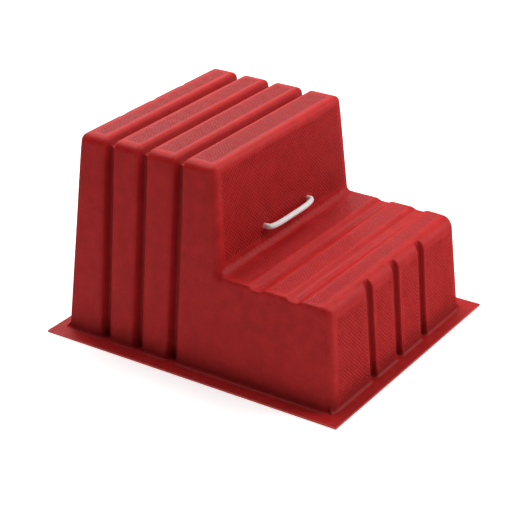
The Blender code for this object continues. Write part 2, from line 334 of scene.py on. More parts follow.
def lattice_skin(us, vs, ws, flange):
    """The boundary quads of the filled cells as lattice keys, keyed by the
    plane they lie in: {(axis, plane, i, j): (four keys)}."""
    cells = filled(us, vs, ws, flange)
    size = [len(us), len(vs), len(ws)]
    padded = np.zeros([n + 1 for n in size], bool)
    padded[1:-1, 1:-1, 1:-1] = cells
    faces = {}

    def key(index):
        return (index[0] * size[1] + index[1]) * size[2] + index[2]

    for axis in range(3):
        low = [slice(1, None)] * 3
        high = [slice(1, None)] * 3
        low[axis], high[axis] = slice(0, -1), slice(1, None)
        before, after = padded[tuple(low)], padded[tuple(high)]
        b, c = (axis + 1) % 3, (axis + 2) % 3
        for index in np.argwhere(before != after):
            if axis == 2 and index[2] == 0:
                continue        # the open foot
            outward = before[tuple(index)]
            corners = []
            for i, j in ((0, 0), (1, 0), (1, 1), (0, 1)):
                at = list(index)
                at[b] += i
                at[c] += j
                corners.append(key(at))
            if not outward:
                corners.reverse()
            faces[(axis, int(index[axis]), int(index[b]), int(index[c]))] = corners
    return faces, size


class Skin:
    """One side of the sheet: its points in millimetres and its faces."""

    def __init__(self, fine, flange, function, level):
        self.us, self.vs, self.ws = stations(fine)
        self.faces, self.size = lattice_skin(self.us, self.vs, self.ws, flange)
        keys = np.unique(np.array([k for f in self.faces.values() for k in f]))
        n_v, n_w = self.size[1], self.size[2]
        i, rest = np.divmod(keys, n_v * n_w)
        j, k = np.divmod(rest, n_w)
        start = np.stack([self.us[i], self.vs[j], self.ws[k]], axis=1)
        self.index = {int(key): n for n, key in enumerate(keys)}
        points = drafted(start)
        on_foot = k == 0
        rim = flange & (
            (np.abs(np.abs(start[:, 0]) - FLANGE_X) < 0.01)
            | (np.abs(np.abs(start[:, 1]) - FLANGE_Y) < 0.01)
        )
        if level:
            points = pulled_onto(function, points)
            points += slope_of(function, points) * level
        moved = pulled_onto(function, points, level)
        flat = pulled_onto(function, moved * (1, 1, 0), level, free=(1, 1, 0))
        moved = np.where(on_foot[:, None], flat, moved)
        if flange:
            moved = np.where((rim | on_foot)[:, None], start, moved)
        self.points = [tuple(p) for p in moved]
        self.quads = []
        self.extra = []         # (corner indices, is it knurled)
        self.tone = {}          # a knurl's points: above 0 on peaks, below in pits

    def at(self, u, v, w):
        """The lattice index nearest to a place along each axis."""
        return [int(np.abs(a - x).argmin()) for a, x in zip((self.us, self.vs, self.ws), (u, v, w))]

    def key(self, index):
        return self.index[(index[0] * self.size[1] + index[1]) * self.size[2] + index[2]]

    def add(self, point):
        self.points.append(tuple(point))
        return len(self.points) - 1

    def window(self, low, high, axis):
        """Takes out the flat quads between two lattice corners on one plane and
        returns the ring of points round the opening, and its four corners."""
        lo, hi = self.at(*low), self.at(*high)
        b, c = (axis + 1) % 3, (axis + 2) % 3
        for i in range(lo[b], hi[b]):
            for j in range(lo[c], hi[c]):
                del self.faces[(axis, lo[axis], i, j)]
        ring = [(i, lo[c]) for i in range(lo[b], hi[b])]
        ring += [(hi[b], j) for j in range(lo[c], hi[c])]
        ring += [(i, hi[c]) for i in range(hi[b], lo[b], -1)]
        ring += [(lo[b], j) for j in range(hi[c], lo[c], -1)]
        out = []
        for i, j in ring:
            at = [0, 0, 0]
            at[axis], at[b], at[c] = lo[axis], i, j
            out.append(self.key(at))
        corners = [0, hi[b] - lo[b], hi[b] - lo[b] + hi[c] - lo[c],
                   2 * (hi[b] - lo[b]) + hi[c] - lo[c]]
        return out, [out[k] for k in corners]


def inside_loop(points, loop):
    """Even-odd test of 2-D points against a closed loop."""
    x, y = points[:, 0][:, None], points[:, 1][:, None]
    a, b = loop, np.roll(loop, -1, axis=0)
    crosses = (a[:, 1] > y) != (b[:, 1] > y)
    with np.errstate(divide="ignore", invalid="ignore"):
        at = a[:, 0] + (y - a[:, 1]) * (b[:, 0] - a[:, 0]) / (b[:, 1] - a[:, 1])
    return ((crosses & (x < at)).sum(1) % 2) == 1


def filled_ring(flat, loops, gone):
    """Triangles between loops of 2-D points. gone(middles) marks what is open."""
    order = [k for loop in loops for k in loop]
    place = {k: n for n, k in enumerate(order)}
    edges = [
        (place[a], place[b]) for loop in loops for a, b in zip(loop, loop[1:] + loop[:1])
    ]
    made = geometry.delaunay_2d_cdt(
        [Vector(flat[k]) for k in order], edges, [], 0, 1e-7
    )
    verts, faces, origin = made[0], made[2], made[3]
    if any(not o for o in origin):
        raise RuntimeError("a ring's edges cross")
    tris = [[order[origin[k][0]] for k in f] for f in faces]
    middles = np.array([[sum(verts[k][i] for k in f) / 3 for i in (0, 1)] for f in faces])
    # what is open is found from the seeds and from the outside, up to the loops
    fixed = {frozenset(e) for loop in loops for e in zip(loop, loop[1:] + loop[:1])}
    beside = {}
    for n, f in enumerate(tris):
        for e in zip(f, f[1:] + f[:1]):
            beside.setdefault(frozenset(e), []).append(n)
    open_now = {int(n) for n in np.flatnonzero(gone(middles))}
    open_now |= {near[0] for e, near in beside.items() if len(near) == 1 and e not in fixed}
    front = list(open_now)
    while front:
        f = tris[front.pop()]
        for e in zip(f, f[1:] + f[:1]):
            if frozenset(e) in fixed:
                continue
            for n in beside[frozenset(e)]:
                if n not in open_now:
                    open_now.add(n)
                    front.append(n)
    return [f for n, f in enumerate(tris) if n not in open_now]


def plane_frame(origin, e1, e2):
    e1, e2 = np.array(e1, float), np.array(e2, float)
    e1 /= np.linalg.norm(e1)
    e2 = e2 - e1 * (e1 @ e2)
    e2 /= np.linalg.norm(e2)
    return np.array(origin, float), e1, e2, np.cross(e1, e2)


def knurled(skin, ring, corners, plane, margin=1.2, holes=(), pattern=True, depth=KNURL, tone=(1.0, 1.0)):
    """Fills a window with pointed knurls on a square grid of points, alternately
    high and low, and joins them flat to the ring and round any drilled hole."""
    origin, e1, e2, normal = plane

    def flat_of(points):
        d = np.array(points) - origin
        return np.stack([d @ e1, d @ e2], axis=1)

    def place(s, t, below):
        return origin + e1 * s + e2 * t - normal * below

    around = flat_of([skin.points[k] for k in ring])
    four = flat_of([skin.points[k] for k in corners])
    turn = np.sign(sum(np.cross(four[i], four[(i + 1) % 4]) for i in range(4)))

    def room(points):
        """How far each point is inside the window and clear of the holes."""
        best = np.full(len(points), 1e9)
        for a, b in zip(four, np.roll(four, -1, axis=0)):
            along = (b - a) / np.linalg.norm(b - a)
            inward = np.array([-along[1], along[0]]) * turn
            best = np.minimum(best, (points - a) @ inward)
        for x, y, r in holes:
            best = np.minimum(best, np.hypot(points[:, 0] - x, points[:, 1] - y) - r)
        return best

    flat = {k: p for k, p in zip(ring, around)}
    loops = [list(ring)]
    ok = np.zeros((1, 1), bool)
    a0 = b0 = 0
    if pattern:
        low, high = around.min(0), around.max(0)
        a0, b0 = math.floor(low[0] / PITCH), math.floor(low[1] / PITCH)
        a1, b1 = math.ceil(high[0] / PITCH), math.ceil(high[1] / PITCH)
        aa, bb = np.meshgrid(np.arange(a0, a1 + 1), np.arange(b0, b1 + 1), indexing="ij")
        nodes = np.stack([aa, bb], axis=-1).reshape(-1, 2) * PITCH
        good = (room(nodes) >= margin).reshape(aa.shape)
        ok = good[:-1, :-1] & good[1:, :-1] & good[:-1, 1:] & good[1:, 1:]
        # a point all of whose four cells are there is free to be a pit
        free = np.zeros(aa.shape, bool)
        free[1:-1, 1:-1] = ok[1:, 1:] & ok[:-1, 1:] & ok[1:, :-1] & ok[:-1, :-1]
        ids = {}

        def node(a, b):
            if (a, b) not in ids:
                pit = (a + b) % 2 == 1 and free[a - a0, b - b0]
                s, t = a * PITCH, b * PITCH
                wear = 1.0 + 0.10 * math.sin(0.7 * a + 1.3 * math.sin(0.43 * b))
                ids[(a, b)] = skin.add(place(s, t, depth * wear if pit else 0.0))
                # the colour paints each peak paler as a highlight and each pit darker as shade, weighted by
                # tone
                peak = (a + b) % 2 == 0 and free[a - a0, b - b0]
                skin.tone[ids[(a, b)]] = peak * tone[0] - pit * tone[1]
                flat[ids[(a, b)]] = (s, t)
            return ids[(a, b)]

        sides = {}
        for i, j in np.argwhere(ok):
            a, b = int(i) + a0, int(j) + b0
            q = [node(a, b), node(a + 1, b), node(a + 1, b + 1), node(a, b + 1)]
            if (a + b) % 2 == 0:        # its pits are the second and fourth
                tris = [(q[0], q[1], q[3]), (q[1], q[2], q[3])]
            else:
                tris = [(q[0], q[1], q[2]), (q[0], q[2], q[3])]
            skin.extra += [(t, True) for t in tris]
            for k in range(4):
                sides[(q[k], q[(k + 1) % 4])] = True
        follow = {}
        for a, b in sides:
            if (b, a) not in sides:
                follow.setdefault(a, []).append(b)
        while follow:
            start = next(iter(follow))
            loop, at = [], start
            while True:
                loop.append(at)
                choices = follow[at]
                to = choices.pop(0)
                if not choices:
                    del follow[at]
                at = to
                if at == start:
                    break
            loops.append(loop)
    rims = []
    for x, y, r in holes:
        rim = []
        for k in range(40):
            a = 2 * math.pi * k / 40
            s, t = x + r * math.cos(a), y + r * math.sin(a)
            rim.append(skin.add(place(s, t, 0.0)))
            flat[rim[-1]] = (s, t)
        rims.append(rim)
        loops.append(rim)

    def gone(middles):
        out = np.zeros(len(middles), bool)
        if pattern:
            i = np.floor(middles / PITCH).astype(int) - (a0, b0)
            inside = (i >= 0).all(1) & (i[:, 0] < ok.shape[0]) & (i[:, 1] < ok.shape[1])
            i = np.where(inside[:, None], i, 0)
            out |= inside & ok[i[:, 0], i[:, 1]]
        for x, y, r in holes:
            out |= np.hypot(middles[:, 0] - x, middles[:, 1] - y) < r * 0.97
        return out

    for tri in filled_ring(flat, loops, gone):
        a, b, c = (np.array(flat[k]) for k in tri)
        if np.cross(b - a, c - a) < 0:
            tri = tri[::-1]
        skin.extra.append((tuple(tri), False))
    return rims


def ridged_fillet(skin, side):
    """Remakes the fillet at the foot of the upper riser, between the two
    knurled faces, with its row of small upright ridges."""
    low_y, high_z = RISER_Y - R_RISER_FOOT - 2.0, TREAD_Z + R_RISER_FOOT + 3.0
    edges = set()
    for low, high, axis in (
        ((-side, low_y, TREAD_Z), (side, RISER_Y, TREAD_Z), 2),
        ((-side, RISER_Y, TREAD_Z), (side, RISER_Y, high_z), 1),
    ):
        ring, _ = skin.window(low, high, axis)
        edges ^= {frozenset(e) for e in zip(ring, ring[1:] + ring[:1])}
    beside = {}
    for a, b in (tuple(e) for e in edges):
        beside.setdefault(a, []).append(b)
        beside.setdefault(b, []).append(a)
    loop, last = [min(beside)], None
    while True:
        to = [n for n in sorted(beside[loop[-1]]) if n != last][0]
        if to == loop[0]:
            break
        last = loop[-1]
        loop.append(to)

    # unrolled: across, and how far back plus how far up
    turn = np.linspace(0, math.pi / 2, 60)
    path = np.stack([
        np.zeros(60), low_y + (R_RISER_FOOT + 2.0) * np.sin(turn),
        TREAD_Z + (R_RISER_FOOT + 3.0) * (1 - np.cos(turn)),
    ], axis=1)
    path = pulled_onto(with_flange, path)
    far = (path[:, 1] - low_y) + (path[:, 2] - TREAD_Z)
    flat = {}
    for k in loop:
        x, y, z = skin.points[k]
        flat[k] = (x, (y - low_y) + (z - TREAD_Z))
    step = RIDGE_PITCH / 4
    reach = math.floor((min(abs(flat[k][0]) for k in loop if abs(flat[k][0]) > side * 0.8) - 2.5) / step)
    across = np.arange(-reach, reach + 1) * step
    up = np.linspace(1.8, max(f[1] for f in flat.values()) - 1.8, 13)
    ss, tt = np.meshgrid(across, up, indexing="ij")
    ss, tt = ss.ravel(), tt.ravel()
    on = np.stack([ss, np.interp(tt, far, path[:, 1]), np.interp(tt, far, path[:, 2])], axis=1)
    on = pulled_onto(with_flange, on)
    normal = slope_of(with_flange, on)
    ridge = np.clip(np.cos(2 * math.pi * ss / RIDGE_PITCH), 0, 1) ** 1.3
    ridge = ridge * np.exp(-(((tt - 25.0) / 4.2) ** 2)) * (np.abs(ss) < across[-1] - 6.0)
    on = on + normal * (ridge * RIDGE)[:, None]
    rows = len(up)
    ids = []
    for place, height, x, t in zip(on, ridge, ss, tt):
        ids.append(skin.add(place))
        flat[ids[-1]] = (x, t)
        # ridge tops are painted paler in the colour as a highlight
        if height > 0.25:
            skin.tone[ids[-1]] = 0.9 * height
    for i in range(len(across) - 1):
        for j in range(rows - 1):
            a, b = ids[i * rows + j], ids[(i + 1) * rows + j]
            c, d = ids[(i + 1) * rows + j + 1], ids[i * rows + j + 1]
            skin.extra += [((a, b, c), False), ((a, c, d), False)]
    n = len(across)
    border = [ids[i * rows] for i in range(n)] + [ids[(n - 1) * rows + j] for j in range(1, rows)]
    border += [ids[i * rows + rows - 1] for i in range(n - 2, -1, -1)]
    border += [ids[j] for j in range(rows - 2, 0, -1)]

    def gone(middles):
        out = (np.abs(middles[:, 0]) < across[-1]) & (middles[:, 1] > up[0])
        return out & (middles[:, 1] < up[-1])

    for tri in filled_ring(flat, [loop, border], gone):
        a, b, c = (np.array(flat[k]) for k in tri)
        skin.extra.append((tuple(tri[::-1] if np.cross(b - a, c - a) < 0 else tri), False))


# ------------------------------------------------------------------ the camera
def aim_camera():
    """A long lens from the front left, a little above the upper tread."""
    azimuth, height, roll = (math.radians(a) for a in (-57.038, 26.245, 0.254))
    back = np.array([
        math.sin(azimuth) * math.cos(height),
        -math.cos(azimuth) * math.cos(height),
        math.sin(height),
    ])
    right = np.cross(-back, (0, 0, 1.0))
    right /= np.linalg.norm(right)
    up = np.cross(right, -back)
    right, up = (
        math.cos(roll) * right + math.sin(roll) * up,
        -math.sin(roll) * right + math.cos(roll) * up,
    )
    place = np.array([0.0, 225.9, 200.0]) + back * 3842.3 + right * 175.52 - up * 107.38
    data = bpy.data.cameras.new("camera")
    data.sensor_width, data.lens = 36.0, 117.585
    data.clip_start, data.clip_end = 0.1, 60.0
    cam = bpy.data.objects.new("camera", data)
    bpy.context.scene.collection.objects.link(cam)
    turn = np.eye(4)
    turn[:3, 0], turn[:3, 1], turn[:3, 2], turn[:3, 3] = right, up, back, place * MM
    cam.matrix_world = Matrix(turn.tolist())
    bpy.context.scene.camera = cam


# -------------------------------------------------------------------- the rope
ROPE_R, ROPE_DROP = 6.0, 1.4
AXIS_OUT, STAND_OFF, SAG = 7.2, 17.0, 2.5
KNOT_R = 13.5
OUT = np.array([0.0, -1.0, RISER_DRAFT]) / math.sqrt(1 + RISER_DRAFT ** 2)
UP = np.cross((1.0, 0.0, 0.0), -OUT)


def rope_exit(sign):
    """Where the rope's centre passes the riser's face."""
    z = HOLE_Z + ROPE_DROP
    return np.array([sign * HOLE_X, RISER_Y + RISER_DRAFT * (z - TREAD_Z), z])


def smooth_line(points, step):
    """Points evenly spaced along a smooth curve through the given ones."""
    p = np.array(points, float)
    gaps = np.sqrt(np.linalg.norm(np.diff(p, axis=0), axis=1))
    t = np.concatenate([[0], np.cumsum(gaps)])
    m = np.gradient(p, t, axis=0)
    fine = []
    for i in range(len(p) - 1):
        h = t[i + 1] - t[i]
        s = np.linspace(0, 1, 24, endpoint=i == len(p) - 2)[:, None]
        fine.append(
            (2 * s**3 - 3 * s**2 + 1) * p[i] + (s**3 - 2 * s**2 + s) * h * m[i]
            + (3 * s**2 - 2 * s**3) * p[i + 1] + (s**3 - s**2) * h * m[i + 1]
        )
    fine = np.concatenate(fine)
    along = np.concatenate([[0], np.cumsum(np.linalg.norm(np.diff(fine, axis=0), axis=1))])
    at = np.linspace(0, along[-1], max(2, round(along[-1] / step) + 1))
    return np.stack([np.interp(at, along, fine[:, k]) for k in range(3)], axis=1)


def rope_route():
    """The rope's centreline from inside the left hole, round the loop and in
    at the right one: straight through the sheet, then square round."""
    half = []
    for back in (-16.0, -10.0, -4.0, 0.0):
        half.append(rope_exit(-1) + OUT * back)
    axis = rope_exit(-1) * (0, 1, 1) + OUT * AXIS_OUT
    reach = STAND_OFF - AXIS_OUT
    middle = []
    for i in range(41):
        t = math.pi * i / 40
        # the right-hand end hangs a little lower and closer to the riser
        hang = max(0.0, -math.cos(t)) ** 0.8
        x = -math.copysign(abs(math.cos(t)) ** (0.45 + 0.25 * hang), math.cos(t)) * HOLE_X
        away = math.sin(t) ** 0.75 * reach * (1.0 - 0.34 * hang)
        down = math.sin(t) ** (1.0 - 0.4 * hang) * (SAG + 2.6 * hang)
        middle.append(axis + (x, 0, 0) + OUT * away - UP * down)
    other = [rope_exit(1) + OUT * back for back in (0.0, -4.0, -10.0, -16.0)]
    return smooth_line(half + middle + other, 1.0)


def braid_relief(around, along, radius):
    """Height of a plaited sheath: two families of strands that pass over and
    under each other, eight each way."""
    count, lay = 8, 2 * math.pi * radius / 8 * 1.15
    a = around * count / (2 * math.pi) + along / lay
    b = around * count / (2 * math.pi) - along / lay
    over = np.cos(math.pi * (a + b)) * np.cos(math.pi * (a - b))
    strand_a = np.sqrt(np.clip(1 - (2 * (a % 1.0) - 1) ** 2, 0, 1))
    strand_b = np.sqrt(np.clip(1 - (2 * (b % 1.0) - 1) ** 2, 0, 1))
    up_a = ((np.floor(a) + np.floor(b)) % 2 == 0)
    return np.where(up_a, strand_a, strand_b) * 0.62 + 0.06 * over


def rope_tube(name, line, radius, sides, taper=None, phase=0.0):
    """A plaited tube along a line, in metres, with closed ends."""
    line = np.array(line, float)
    n = len(line)
    tangent = np.gradient(line, axis=0)
    tangent /= np.linalg.norm(tangent, axis=1)[:, None]
    side = np.cross(tangent[0], (0.3, 0.2, 1.0))
    side /= np.linalg.norm(side)
    rings = []
    along = np.concatenate([[0], np.cumsum(np.linalg.norm(np.diff(line, axis=0), axis=1))])
    angles = np.linspace(0, 2 * math.pi, sides, endpoint=False)
    for i in range(n):
        side = side - tangent[i] * (side @ tangent[i])
        side /= np.linalg.norm(side)
        other = np.cross(tangent[i], side)
        r = radius - 0.55 + braid_relief(angles + phase, along[i], radius)
        if taper is not None:
            r = r * taper[i]
        ring = line[i] + np.outer(np.cos(angles) * r, side) + np.outer(np.sin(angles) * r, other)
        rings.append(ring)
    verts = [tuple(p * MM) for ring in rings for p in ring]
    faces = []
    for i in range(n - 1):
        for j in range(sides):
            k = (j + 1) % sides
            faces.append((i * sides + j, i * sides + k, (i + 1) * sides + k, (i + 1) * sides + j))
    verts += [tuple(line[0] * MM), tuple(line[-1] * MM)]
    first, last = len(verts) - 2, len(verts) - 1
    for j in range(sides):
        k = (j + 1) % sides
        faces.append((first, k, j))
        faces.append((last, (n - 1) * sides + j, (n - 1) * sides + k))
    return new_mesh(name, verts, faces)


def new_mesh(name, verts, faces):
    mesh = bpy.data.meshes.new(name)
    mesh.from_pydata(verts, [], faces)
    mesh.update()
    obj = bpy.data.objects.new(name, mesh)
    bpy.context.scene.collection.objects.link(obj)
    mesh.shade_smooth()
    return obj


def knot_and_tail(name, sign):
    """The stopper knot behind the riser: the rope's end wound over itself, and
    its short tail hanging inside the shell."""
    start = rope_exit(sign)
    knot = start - OUT * (WALL + 0.3 + KNOT_R)
    # one and a half turns of an overhand knot, held inside the knot's ball
    line = [start - OUT * 13.0, start - OUT * 15.5]
    for i in range(17):
        t = i / 16
        a = 2 * math.pi * 1.6 * t * sign + 0.6
        r = KNOT_R - ROPE_R - 0.5
        line.append(
            knot + r * (math.cos(a) * UP + math.sin(a) * np.array([1.0, 0, 0]))
            + OUT * (4.5 - 9.0 * t)
        )
    drop = np.array([sign * 0.12, 0.25, -1.0])
    drop /= np.linalg.norm(drop)
    line += [knot + drop * d for d in (12.0, 20.0, 28.0, 36.0)]
    path = smooth_line(line, 1.2)
    keep = np.linspace(0, 1, len(path))
    taper = np.where(keep > 0.985, 0.93, 1.0)
    return rope_tube(name, path, ROPE_R - 0.2, 32, taper=taper, phase=0.4 * sign), path


# --------------------------------------------------------------- the materials
def shader_of(name):
    made = bpy.data.materials.new(name)
    made.use_nodes = True
    tree = made.node_tree
    return made, tree, tree.nodes["Principled BSDF"]


def node(tree, kind, inputs=None, **values):
    made = tree.nodes.new(kind)
    for key, value in values.items():
        setattr(made, key, value)
    for key, value in (inputs or {}).items():
        if isinstance(value, bpy.types.NodeSocket):
            tree.links.new(value, made.inputs[key])
        else:
            made.inputs[key].default_value = value
    return made


def noise_of(tree, where, scale, detail=3.0, rough=0.5, distort=0.0):
    return node(tree, "ShaderNodeTexNoise", {
        "Vector": where, "Scale": scale, "Detail": detail,
        "Roughness": rough, "Distortion": distort,
    })


def spread_of(tree, value, low, high, to_low=0.0, to_high=1.0, smooth=False):
    made = node(tree, "ShaderNodeMapRange", {
        "Value": value, "From Min": low, "From Max": high,
        "To Min": to_low, "To Max": to_high,
    })
    if smooth:
        made.interpolation_type = "SMOOTHSTEP"
    return made.outputs["Result"]


def mixed(tree, share, a, b, blend="MIX"):
    made = node(tree, "ShaderNodeMix", data_type="RGBA", blend_type=blend)
    for socket, value in ((made.inputs[0], share), (made.inputs[6], a), (made.inputs[7], b)):
        if isinstance(value, bpy.types.NodeSocket):
            tree.links.new(value, socket)
        else:
            socket.default_value = value
    return made.outputs[2]


def maths(tree, how, a, b=0.0, c=0.0):
    made = node(tree, "ShaderNodeMath", operation=how)
    for socket, value in zip(made.inputs, (a, b, c)):
        if isinstance(value, bpy.types.NodeSocket):
            tree.links.new(value, socket)
        else:
            socket.default_value = value
    return made.outputs[0]


RED = (0.500, 0.0135, 0.0140, 1.0)


def red_plastic():
    """Satin thermoformed sheet: cloudy mottling, a fine pressed skin, faint
    scuffs and paler worn edges; painted highlights on knurl points, painted
    shade in pits, grooves, at the foot and inside, and paler cut plastic with
    a painted highlight at the flange rim."""
    made, tree, shader = shader_of("red_sheet")
    where = node(tree, "ShaderNodeTexCoord").outputs["Object"]
    cloud = noise_of(tree, where, 34.0, 4.0, 0.65).outputs[0]
    blotch = noise_of(tree, where, 150.0, 3.0, 0.6).outputs[0]
    grain = noise_of(tree, where, 620.0, 2.0, 0.6).outputs[0]
    deep = tuple(c * 0.86 for c in RED[:3]) + (1.0,)
    pale = (RED[0] * 1.10, RED[1] * 1.3, RED[2] * 1.3, 1.0)
    colour = mixed(tree, spread_of(tree, cloud, 0.32, 0.68), deep, pale)
    colour = mixed(tree, spread_of(tree, blotch, 0.35, 0.70, 0.0, 0.55), colour,
                   mixed(tree, 0.5, colour, deep))
    # fine scuffs, long and thin, in two directions
    scuffs = None
    for turn, stretch in ((0.5, (9.0, 160.0, 40.0)), (-0.9, (150.0, 11.0, 55.0))):
        bent = node(tree, "ShaderNodeMapping", {
            "Vector": where, "Rotation": (0.2, 0.35, turn), "Scale": stretch,
        }).outputs[0]
        line = spread_of(tree, noise_of(tree, bent, 1.0, 2.0, 0.5, 0.4).outputs[0], 0.69, 0.75)
        scuffs = line if scuffs is None else maths(tree, "MAXIMUM", scuffs, line)
    patch = spread_of(tree, noise_of(tree, where, 7.0, 2.0).outputs[0], 0.50, 0.66)
    scuffs = maths(tree, "MULTIPLY", scuffs, patch)
    # pale colour: real wear on scuffs and edges, and the painted highlight on knurl points
    pale_wear_and_highlight = (0.62, 0.044, 0.038, 1.0)
    colour = mixed(tree, maths(tree, "MULTIPLY", scuffs, 0.35), colour, pale_wear_and_highlight)
    # edges: paler where the sheet stretched and rubs
    geometry_node = node(tree, "ShaderNodeNewGeometry")
    edge = spread_of(tree, geometry_node.outputs["Pointiness"], 0.505, 0.56)
    edge = maths(tree, "MULTIPLY", edge, spread_of(tree, blotch, 0.30, 0.62, 0.25, 1.0))
    colour = mixed(tree, maths(tree, "MULTIPLY", edge, 0.30), colour, pale_wear_and_highlight)
    # the knurls: points painted paler as a highlight, pits painted darker as shade
    relief = node(tree, "ShaderNodeAttribute", attribute_name="relief").outputs["Fac"]
    grip = node(tree, "ShaderNodeAttribute", attribute_name="grip").outputs["Fac"]
    pit = maths(tree, "MULTIPLY", maths(tree, "MAXIMUM", maths(tree, "MULTIPLY", relief, -1.0), 0.0), 0.56)
    point = maths(tree, "MULTIPLY", maths(tree, "MAXIMUM", relief, 0.0), 0.55)
    # dark colour for the painted shade in the knurl pits
    pit_shade_colour = (RED[0] * 0.30, RED[1] * 0.45, RED[2] * 0.45, 1.0)
    colour = mixed(tree, maths(tree, "MINIMUM", pit, 0.9), colour, pit_shade_colour)
    colour = mixed(tree, point, colour, pale_wear_and_highlight)
    spot = node(tree, "ShaderNodeSeparateXYZ", {"Vector": where})
    # painted shade where the sheet is shut in: in grooves, against the foot and on the inside
    painted_shade = node(tree, "ShaderNodeAttribute", attribute_name="painted_shade").outputs["Fac"]
    shut = spread_of(tree, painted_shade, 0.10, 0.68, 0.0, 0.60)
    colour = mixed(tree, shut, colour, (RED[0] * 0.30, RED[1] * 0.60, RED[2] * 0.60, 1.0))
    # darker low down, towards the shaded foot of the walls
    low_down = spread_of(tree, spot.outputs[2], 0.008, 0.060, 0.42, 0.0, smooth=True)
    low_down = maths(tree, "MULTIPLY", low_down, spread_of(tree, spot.outputs[2], 0.0042, 0.0065, 0.25, 1.0))
    low_down = maths(tree, "MULTIPLY", low_down, spread_of(tree, blotch, 0.3, 0.6, 0.75, 1.0))
    colour = mixed(tree, low_down, colour, (RED[0] * 0.30, RED[1] * 0.70, RED[2] * 0.60, 1.0))
    # the flange's cut edge: paler cut plastic, with a painted highlight along the rim
    out_x = spread_of(tree, maths(tree, "ABSOLUTE", spot.outputs[0]), 0.3170, 0.3186)
    out_y = spread_of(tree, maths(tree, "ABSOLUTE", spot.outputs[1]), 0.3670, 0.3686)
    cut_edge_and_highlight = maths(tree, "MAXIMUM", out_x, out_y)
    colour = mixed(tree, maths(tree, "MULTIPLY", cut_edge_and_highlight, 0.40), colour, (0.78, 0.16, 0.13, 1.0))
    tree.links.new(colour, shader.inputs["Base Color"])
    rough = spread_of(tree, cloud, 0.3, 0.7, 0.43, 0.52)
    rough = maths(tree, "ADD", rough, maths(tree, "MULTIPLY", scuffs, 0.16))
    rough = maths(tree, "ADD", rough, spread_of(tree, grain, 0.3, 0.7, -0.05, 0.05))
    rough = maths(tree, "SUBTRACT", rough, maths(tree, "MULTIPLY", grip, 0.10))
    tree.links.new(rough, shader.inputs["Roughness"])
    shader.inputs["IOR"].default_value = 1.5
    shader.inputs["Specular IOR Level"].default_value = 0.15
    height = maths(tree, "ADD", maths(tree, "MULTIPLY", blotch, 0.9), maths(tree, "MULTIPLY", grain, 0.35))
    height = maths(tree, "SUBTRACT", height, maths(tree, "MULTIPLY", scuffs, 0.25))
    bump = node(tree, "ShaderNodeBump", {"Height": height, "Strength": 0.55, "Distance": 0.0011})
    tree.links.new(bump.outputs[0], shader.inputs["Normal"])
    return made


def white_rope():
    """Plaited polyester: fine yarns along each strand, faint random patches,
    painted shade in the creases between the strands, and a soft sheen."""
    made, tree, shader = shader_of("plaited_rope")
    where = node(tree, "ShaderNodeTexCoord").outputs["Object"]
    yarn = noise_of(tree, where, 1500.0, 2.0, 0.7).outputs[0]
    patch = noise_of(tree, where, 70.0, 3.0, 0.6).outputs[0]
    colour = mixed(tree, spread_of(tree, yarn, 0.3, 0.7), (0.93, 0.92, 0.90, 1), (0.97, 0.965, 0.955, 1))
    colour = mixed(tree, spread_of(tree, patch, 0.5, 0.75, 0.0, 0.15), colour, (0.85, 0.79, 0.73, 1))
    # painted shade in the creases between the strands, found from pointiness
    point = node(tree, "ShaderNodeNewGeometry").outputs["Pointiness"]
    colour = mixed(tree, spread_of(tree, point, 0.49, 0.44, 0.0, 0.40), colour, (0.55, 0.48, 0.43, 1))
    tree.links.new(colour, shader.inputs["Base Color"])
    tree.links.new(spread_of(tree, yarn, 0.3, 0.7, 0.62, 0.86), shader.inputs["Roughness"])
    shader.inputs["Sheen Weight"].default_value = 0.5
    shader.inputs["Sheen Roughness"].default_value = 0.4
    shader.inputs["Subsurface Weight"].default_value = 0.0
    bump = node(tree, "ShaderNodeBump", {"Height": yarn, "Strength": 0.5, "Distance": 0.0003})
    tree.links.new(bump.outputs[0], shader.inputs["Normal"])
    return made


# -------------------------------------------------------------- the whole shell
def sheltered(points):
    """How far each point of the outside is shut in by what stands round it:
    0 in the open, towards 1 deep in a groove or against the foot."""
    normal = slope_of(with_flange, points)
    normal /= np.maximum(np.linalg.norm(normal, axis=1), 1e-9)[:, None]
    total = np.zeros(len(points))
    for reach, weight in ((4.0, 0.22), (9.0, 0.30), (19.0, 0.28), (38.0, 0.20)):
        there = with_flange(points + normal * reach)
        total += weight * np.clip(1.0 - there / reach, 0, 1)
    return total


